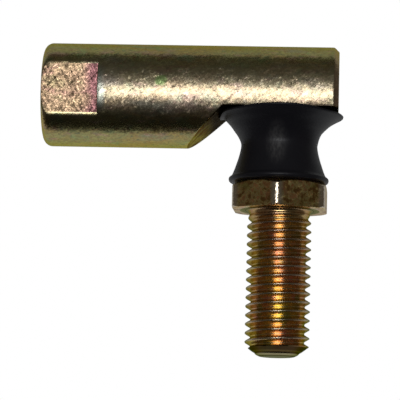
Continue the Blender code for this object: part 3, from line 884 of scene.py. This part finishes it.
def boot_object(name, loop, material, n=144):
    a = around(n)
    skin = Skin()
    for r, z in loop:
        x = r * np.cos(a)
        y = r * np.sin(a)
        zz = np.full(n, z)
        # the unsupported rim droops a little past the housing's end
        lift = np.clip((r - 5.0) / 2.4, 0.0, 1.0) * np.clip((z + 5.0) / 3.1, 0.0, 1.0)
        droop = 0.16 * np.clip((x - 3.0) / 4.0, 0.0, 1.0) ** 1.5 * lift
        zz = zz - droop
        # and its other side is bent down by the sloping relief
        top = np.array([relief_limit(v) for v in x])
        press = np.minimum(0.0, top - (-1.90)) * np.clip((z + 4.6) / 2.6, 0.0, 1.0)
        # in front and behind, where nothing holds it down, the rim curls up
        curl = 0.24 * np.clip((np.abs(y) - 5.2) / 2.1, 0.0, 1.0) ** 1.3 \
            * np.clip((z + 3.2) / 1.2, 0.0, 1.0)
        zz = zz + press + curl
        # the moulding sits a little off the stud's axis, outside its bore
        aside = BOOT_OFFSET * np.clip((r - 3.4) / 1.1, 0.0, 1.0) \
            * np.clip((-2.3 - z) / 1.8, 0.0, 1.0)
        # towards the closed end the flare stands thinner under its rim
        pull = -0.26 * np.clip((x - 1.5) / 3.5, 0.0, 1.0) \
            * np.clip((-2.30 - z) / 0.6, 0.0, 1.0) * np.clip((z + 5.4) / 1.2, 0.0, 1.0)
        skin.add(np.stack([BALL.x + x + aside + pull, y, zz], 1))
    obj = skin.object(name, close=True)
    tidy(obj)
    dress(obj, [material], 60.0)
    return obj


def build_boot(material):
    # at the waist the wall is thin inside, to leave room for the swinging neck
    wall = 0.28
    near = 0.03
    outer = smooth_curve(BOOT_UPPER + [(WAIST[0] + 0.002, WAIST[1] + near), WAIST], 44)
    inner = smooth_curve([(WAIST[0] - wall, WAIST[1]), (4.22, -5.30), (4.18, -4.50),
                          (4.42, -3.75), (4.75, -3.10), (4.80, -2.60)], 16)
    top = [(4.80, -2.30), (4.84, -1.98), (4.92, -1.90), (5.60, -1.90), (6.30, -1.90)]
    upper = [tuple(p) for p in outer] + [tuple(p) for p in inner] + top
    upper_obj = boot_object("boot_upper_half", upper, material)
    outer = smooth_curve([WAIST, (WAIST[0] + 0.002, WAIST[1] - near)] + BOOT_LOWER, 44)
    inner = smooth_curve([(2.70, -10.35), (2.62, -10.26), (2.62, -9.80), (2.80, -9.45),
                          (3.50, -9.10), (4.00, -8.60), (4.18, -7.90), (4.28, -7.00),
                          (4.29, -6.40), (WAIST[0] - wall, WAIST[1])], 26)
    bottom = [(4.60, -10.37), (3.60, -10.37)]
    lower = [tuple(p) for p in outer] + bottom + [tuple(p) for p in inner]
    lower_obj = boot_object("boot_lower_half", lower, material)
    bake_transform(upper_obj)
    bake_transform(lower_obj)
    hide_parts("dust_boot")
    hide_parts("dust_boot")
    return upper_obj, lower_obj


# ---------------------------------------------------------------------- stage

PAPER_LOW = (0.365, 0.367, 0.362)
PAPER_HIGH = (0.245, 0.248, 0.240)
ROOM_LOW = (0.009, 0.0085, 0.0075)
ROOM_HIGH = (0.034, 0.0335, 0.022)
ROOM_SIDE = (0.054, 0.047, 0.038)
LAMP = 0.262                 # watts, of a small soft lamp
LAMP_SIZE = (0.165, 0.110)


def build_camera():
    yaw, pitch, roll = (math.radians(v) for v in (-2.904, -7.744, 1.44))
    tx, tz, distance, focal = 9.825, 12.153, 323.32, 2698.8
    turn = (Matrix.Rotation(roll, 3, "Y") @ Matrix.Rotation(pitch, 3, "X")
            @ Matrix.Rotation(yaw, 3, "Z"))
    place = turn.transposed() @ Vector((-tx, -distance, -tz)) + BALL
    right, ahead, up = (turn.transposed() @ Vector(v)
                        for v in ((1, 0, 0), (0, 1, 0), (0, 0, 1)))
    data = bpy.data.cameras.new("camera")
    data.sensor_fit = "HORIZONTAL"
    data.sensor_width = 36.0
    data.lens = focal * 36.0 / 400.0
    data.clip_start, data.clip_end = 0.01, 20.0
    cam = bpy.data.objects.new("camera", data)
    bpy.context.scene.collection.objects.link(cam)
    world = Matrix((right, up, -ahead)).transposed().to_4x4()
    world.translation = place * 0.001
    cam.matrix_world = world
    bpy.context.scene.camera = cam
    return place * 0.001, up, right


def build_world(up, right):
    """White paper behind the object, a dim room in front of it. The camera
    sees plain white paper in every direction."""
    world = bpy.data.worlds.new("studio")
    bpy.context.scene.world = world
    world.use_nodes = True
    tree = world.node_tree
    tree.nodes.clear()
    new, link = tree.nodes.new, tree.links.new
    out = new("ShaderNodeOutputWorld")
    coords = new("ShaderNodeTexCoord").outputs["Generated"]

    def along(axis):
        node = new("ShaderNodeVectorMath")
        node.operation = "DOT_PRODUCT"
        link(coords, node.inputs[0])
        node.inputs[1].default_value = axis
        return node.outputs["Value"]

    def step(value, a, b, smooth=True):
        node = new("ShaderNodeMapRange")
        node.interpolation_type = "SMOOTHSTEP" if smooth else "LINEAR"
        link(value, node.inputs["Value"])
        node.inputs["From Min"].default_value = a
        node.inputs["From Max"].default_value = b
        return node.outputs["Result"]

    def mix(factor, a, b):
        node = new("ShaderNodeMix")
        node.data_type = "RGBA"
        link(factor, node.inputs[0])
        for socket, v in ((node.inputs[6], a), (node.inputs[7], b)):
            if isinstance(v, bpy.types.NodeSocket):
                link(v, socket)
            else:
                socket.default_value = (*v, 1.0)
        return node.outputs[2]

    side = new("ShaderNodeMath")
    side.operation = "ABSOLUTE"
    link(along(right), side.inputs[0])
    paper = mix(step(along(up), -0.5, 0.6), PAPER_LOW, PAPER_HIGH)
    room = mix(step(along(up), -0.6, 0.7), ROOM_LOW, ROOM_HIGH)
    room = mix(step(side.outputs[0], 0.50, 1.0), room, ROOM_SIDE)
    # at the sides, most of all on the right, the paper starts further back
    late = along((0.0, 1.0, 0.0))
    for near, far, amount in ((0.25, 0.75, -0.27), (-0.25, -0.75, -0.13)):
        node = new("ShaderNodeMath")
        node.operation = "MULTIPLY_ADD"
        link(step(along(right), near, far), node.inputs[0])
        node.inputs[1].default_value = amount
        link(late, node.inputs[2])
        late = node.outputs[0]
    both = mix(step(late, 0.085, 0.135), room, paper)
    light = new("ShaderNodeBackground")
    link(both, light.inputs["Color"])
    white = new("ShaderNodeBackground")
    white.inputs["Color"].default_value = (1.0, 1.0, 1.0, 1.0)
    path = new("ShaderNodeLightPath")
    final = new("ShaderNodeMixShader")
    link(path.outputs["Is Camera Ray"], final.inputs[0])
    link(light.outputs[0], final.inputs[1])
    link(white.outputs[0], final.inputs[2])
    link(final.outputs[0], out.inputs["Surface"])


def area_light(name, place, target, size, size_y, power, colour=(1, 1, 1)):
    data = bpy.data.lights.new(name, "AREA")
    data.shape = "RECTANGLE"
    data.size, data.size_y = size, size_y
    data.energy = power
    data.color = colour
    obj = bpy.data.objects.new(name, data)
    bpy.context.scene.collection.objects.link(obj)
    obj.location = place
    obj.rotation_euler = (Vector(target) - Vector(place)).to_track_quat("-Z", "Y").to_euler()
    obj.visible_camera = False
    return obj


def build_floor():
    mesh = bpy.data.meshes.new("floor")
    s, z = 6.0, -0.45
    mesh.from_pydata([(-s, -s, z), (s, -s, z), (s, s, z), (-s, s, z)], [],
                     [(0, 1, 2, 3)])
    obj = bpy.data.objects.new("floor", mesh)
    bpy.context.scene.collection.objects.link(obj)
    n = Nodes("pale_floor")
    n.set(Base_Color=(0.8, 0.8, 0.8), Roughness=0.9)
    n.bsdf.inputs["Emission Color"].default_value = (1, 1, 1, 1)
    n.bsdf.inputs["Emission Strength"].default_value = 0.75
    obj.data.materials.append(n.mat)
    obj.visible_glossy = False
    obj.visible_diffuse = False


def build():
    turned = zinc("zinc_turned")
    milled = zinc("zinc_milled", "milled")
    faced = zinc("zinc_faced", "faced")
    stud_metals = zinc("zinc_thread", "thread"), zinc("zinc_hexagon", "hexagon")
    black = rubber("boot_rubber")

    housing = build_housing(turned, milled, faced, zinc("zinc_relief", "relief"))
    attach(housing, "housing")
    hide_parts("housing")

    stud = build_stud(stud_metals)
    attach(stud, "stud")
    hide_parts("stud")

    build_boot(black)

    steel = plain_metal("bearing_steel", (0.56, 0.57, 0.59), 0.16)
    bronze = plain_metal("race_bronze", (0.62, 0.43, 0.20), 0.30)
    spring = plain_metal("spring_steel", (0.30, 0.32, 0.36), 0.32)
    for node, mat in (("ball", steel), ("retaining_ring", steel),
                      ("upper_race", bronze), ("lower_race", bronze),
                      ("preload_washer", spring)):
        obj = frame["nodes"][node]
        obj.data.materials.clear()
        obj.data.materials.append(mat)

    eye, up, right = build_camera()
    build_world(up, right)
    ball = BALL * 0.001
    area_light("lamp", eye + up * 0.062, ball, *LAMP_SIZE, LAMP, (1.0, 0.97, 0.93))
    build_floor()
    bpy.context.scene.view_settings.view_transform = "Standard"
    bpy.context.scene.view_settings.look = "None"


build()
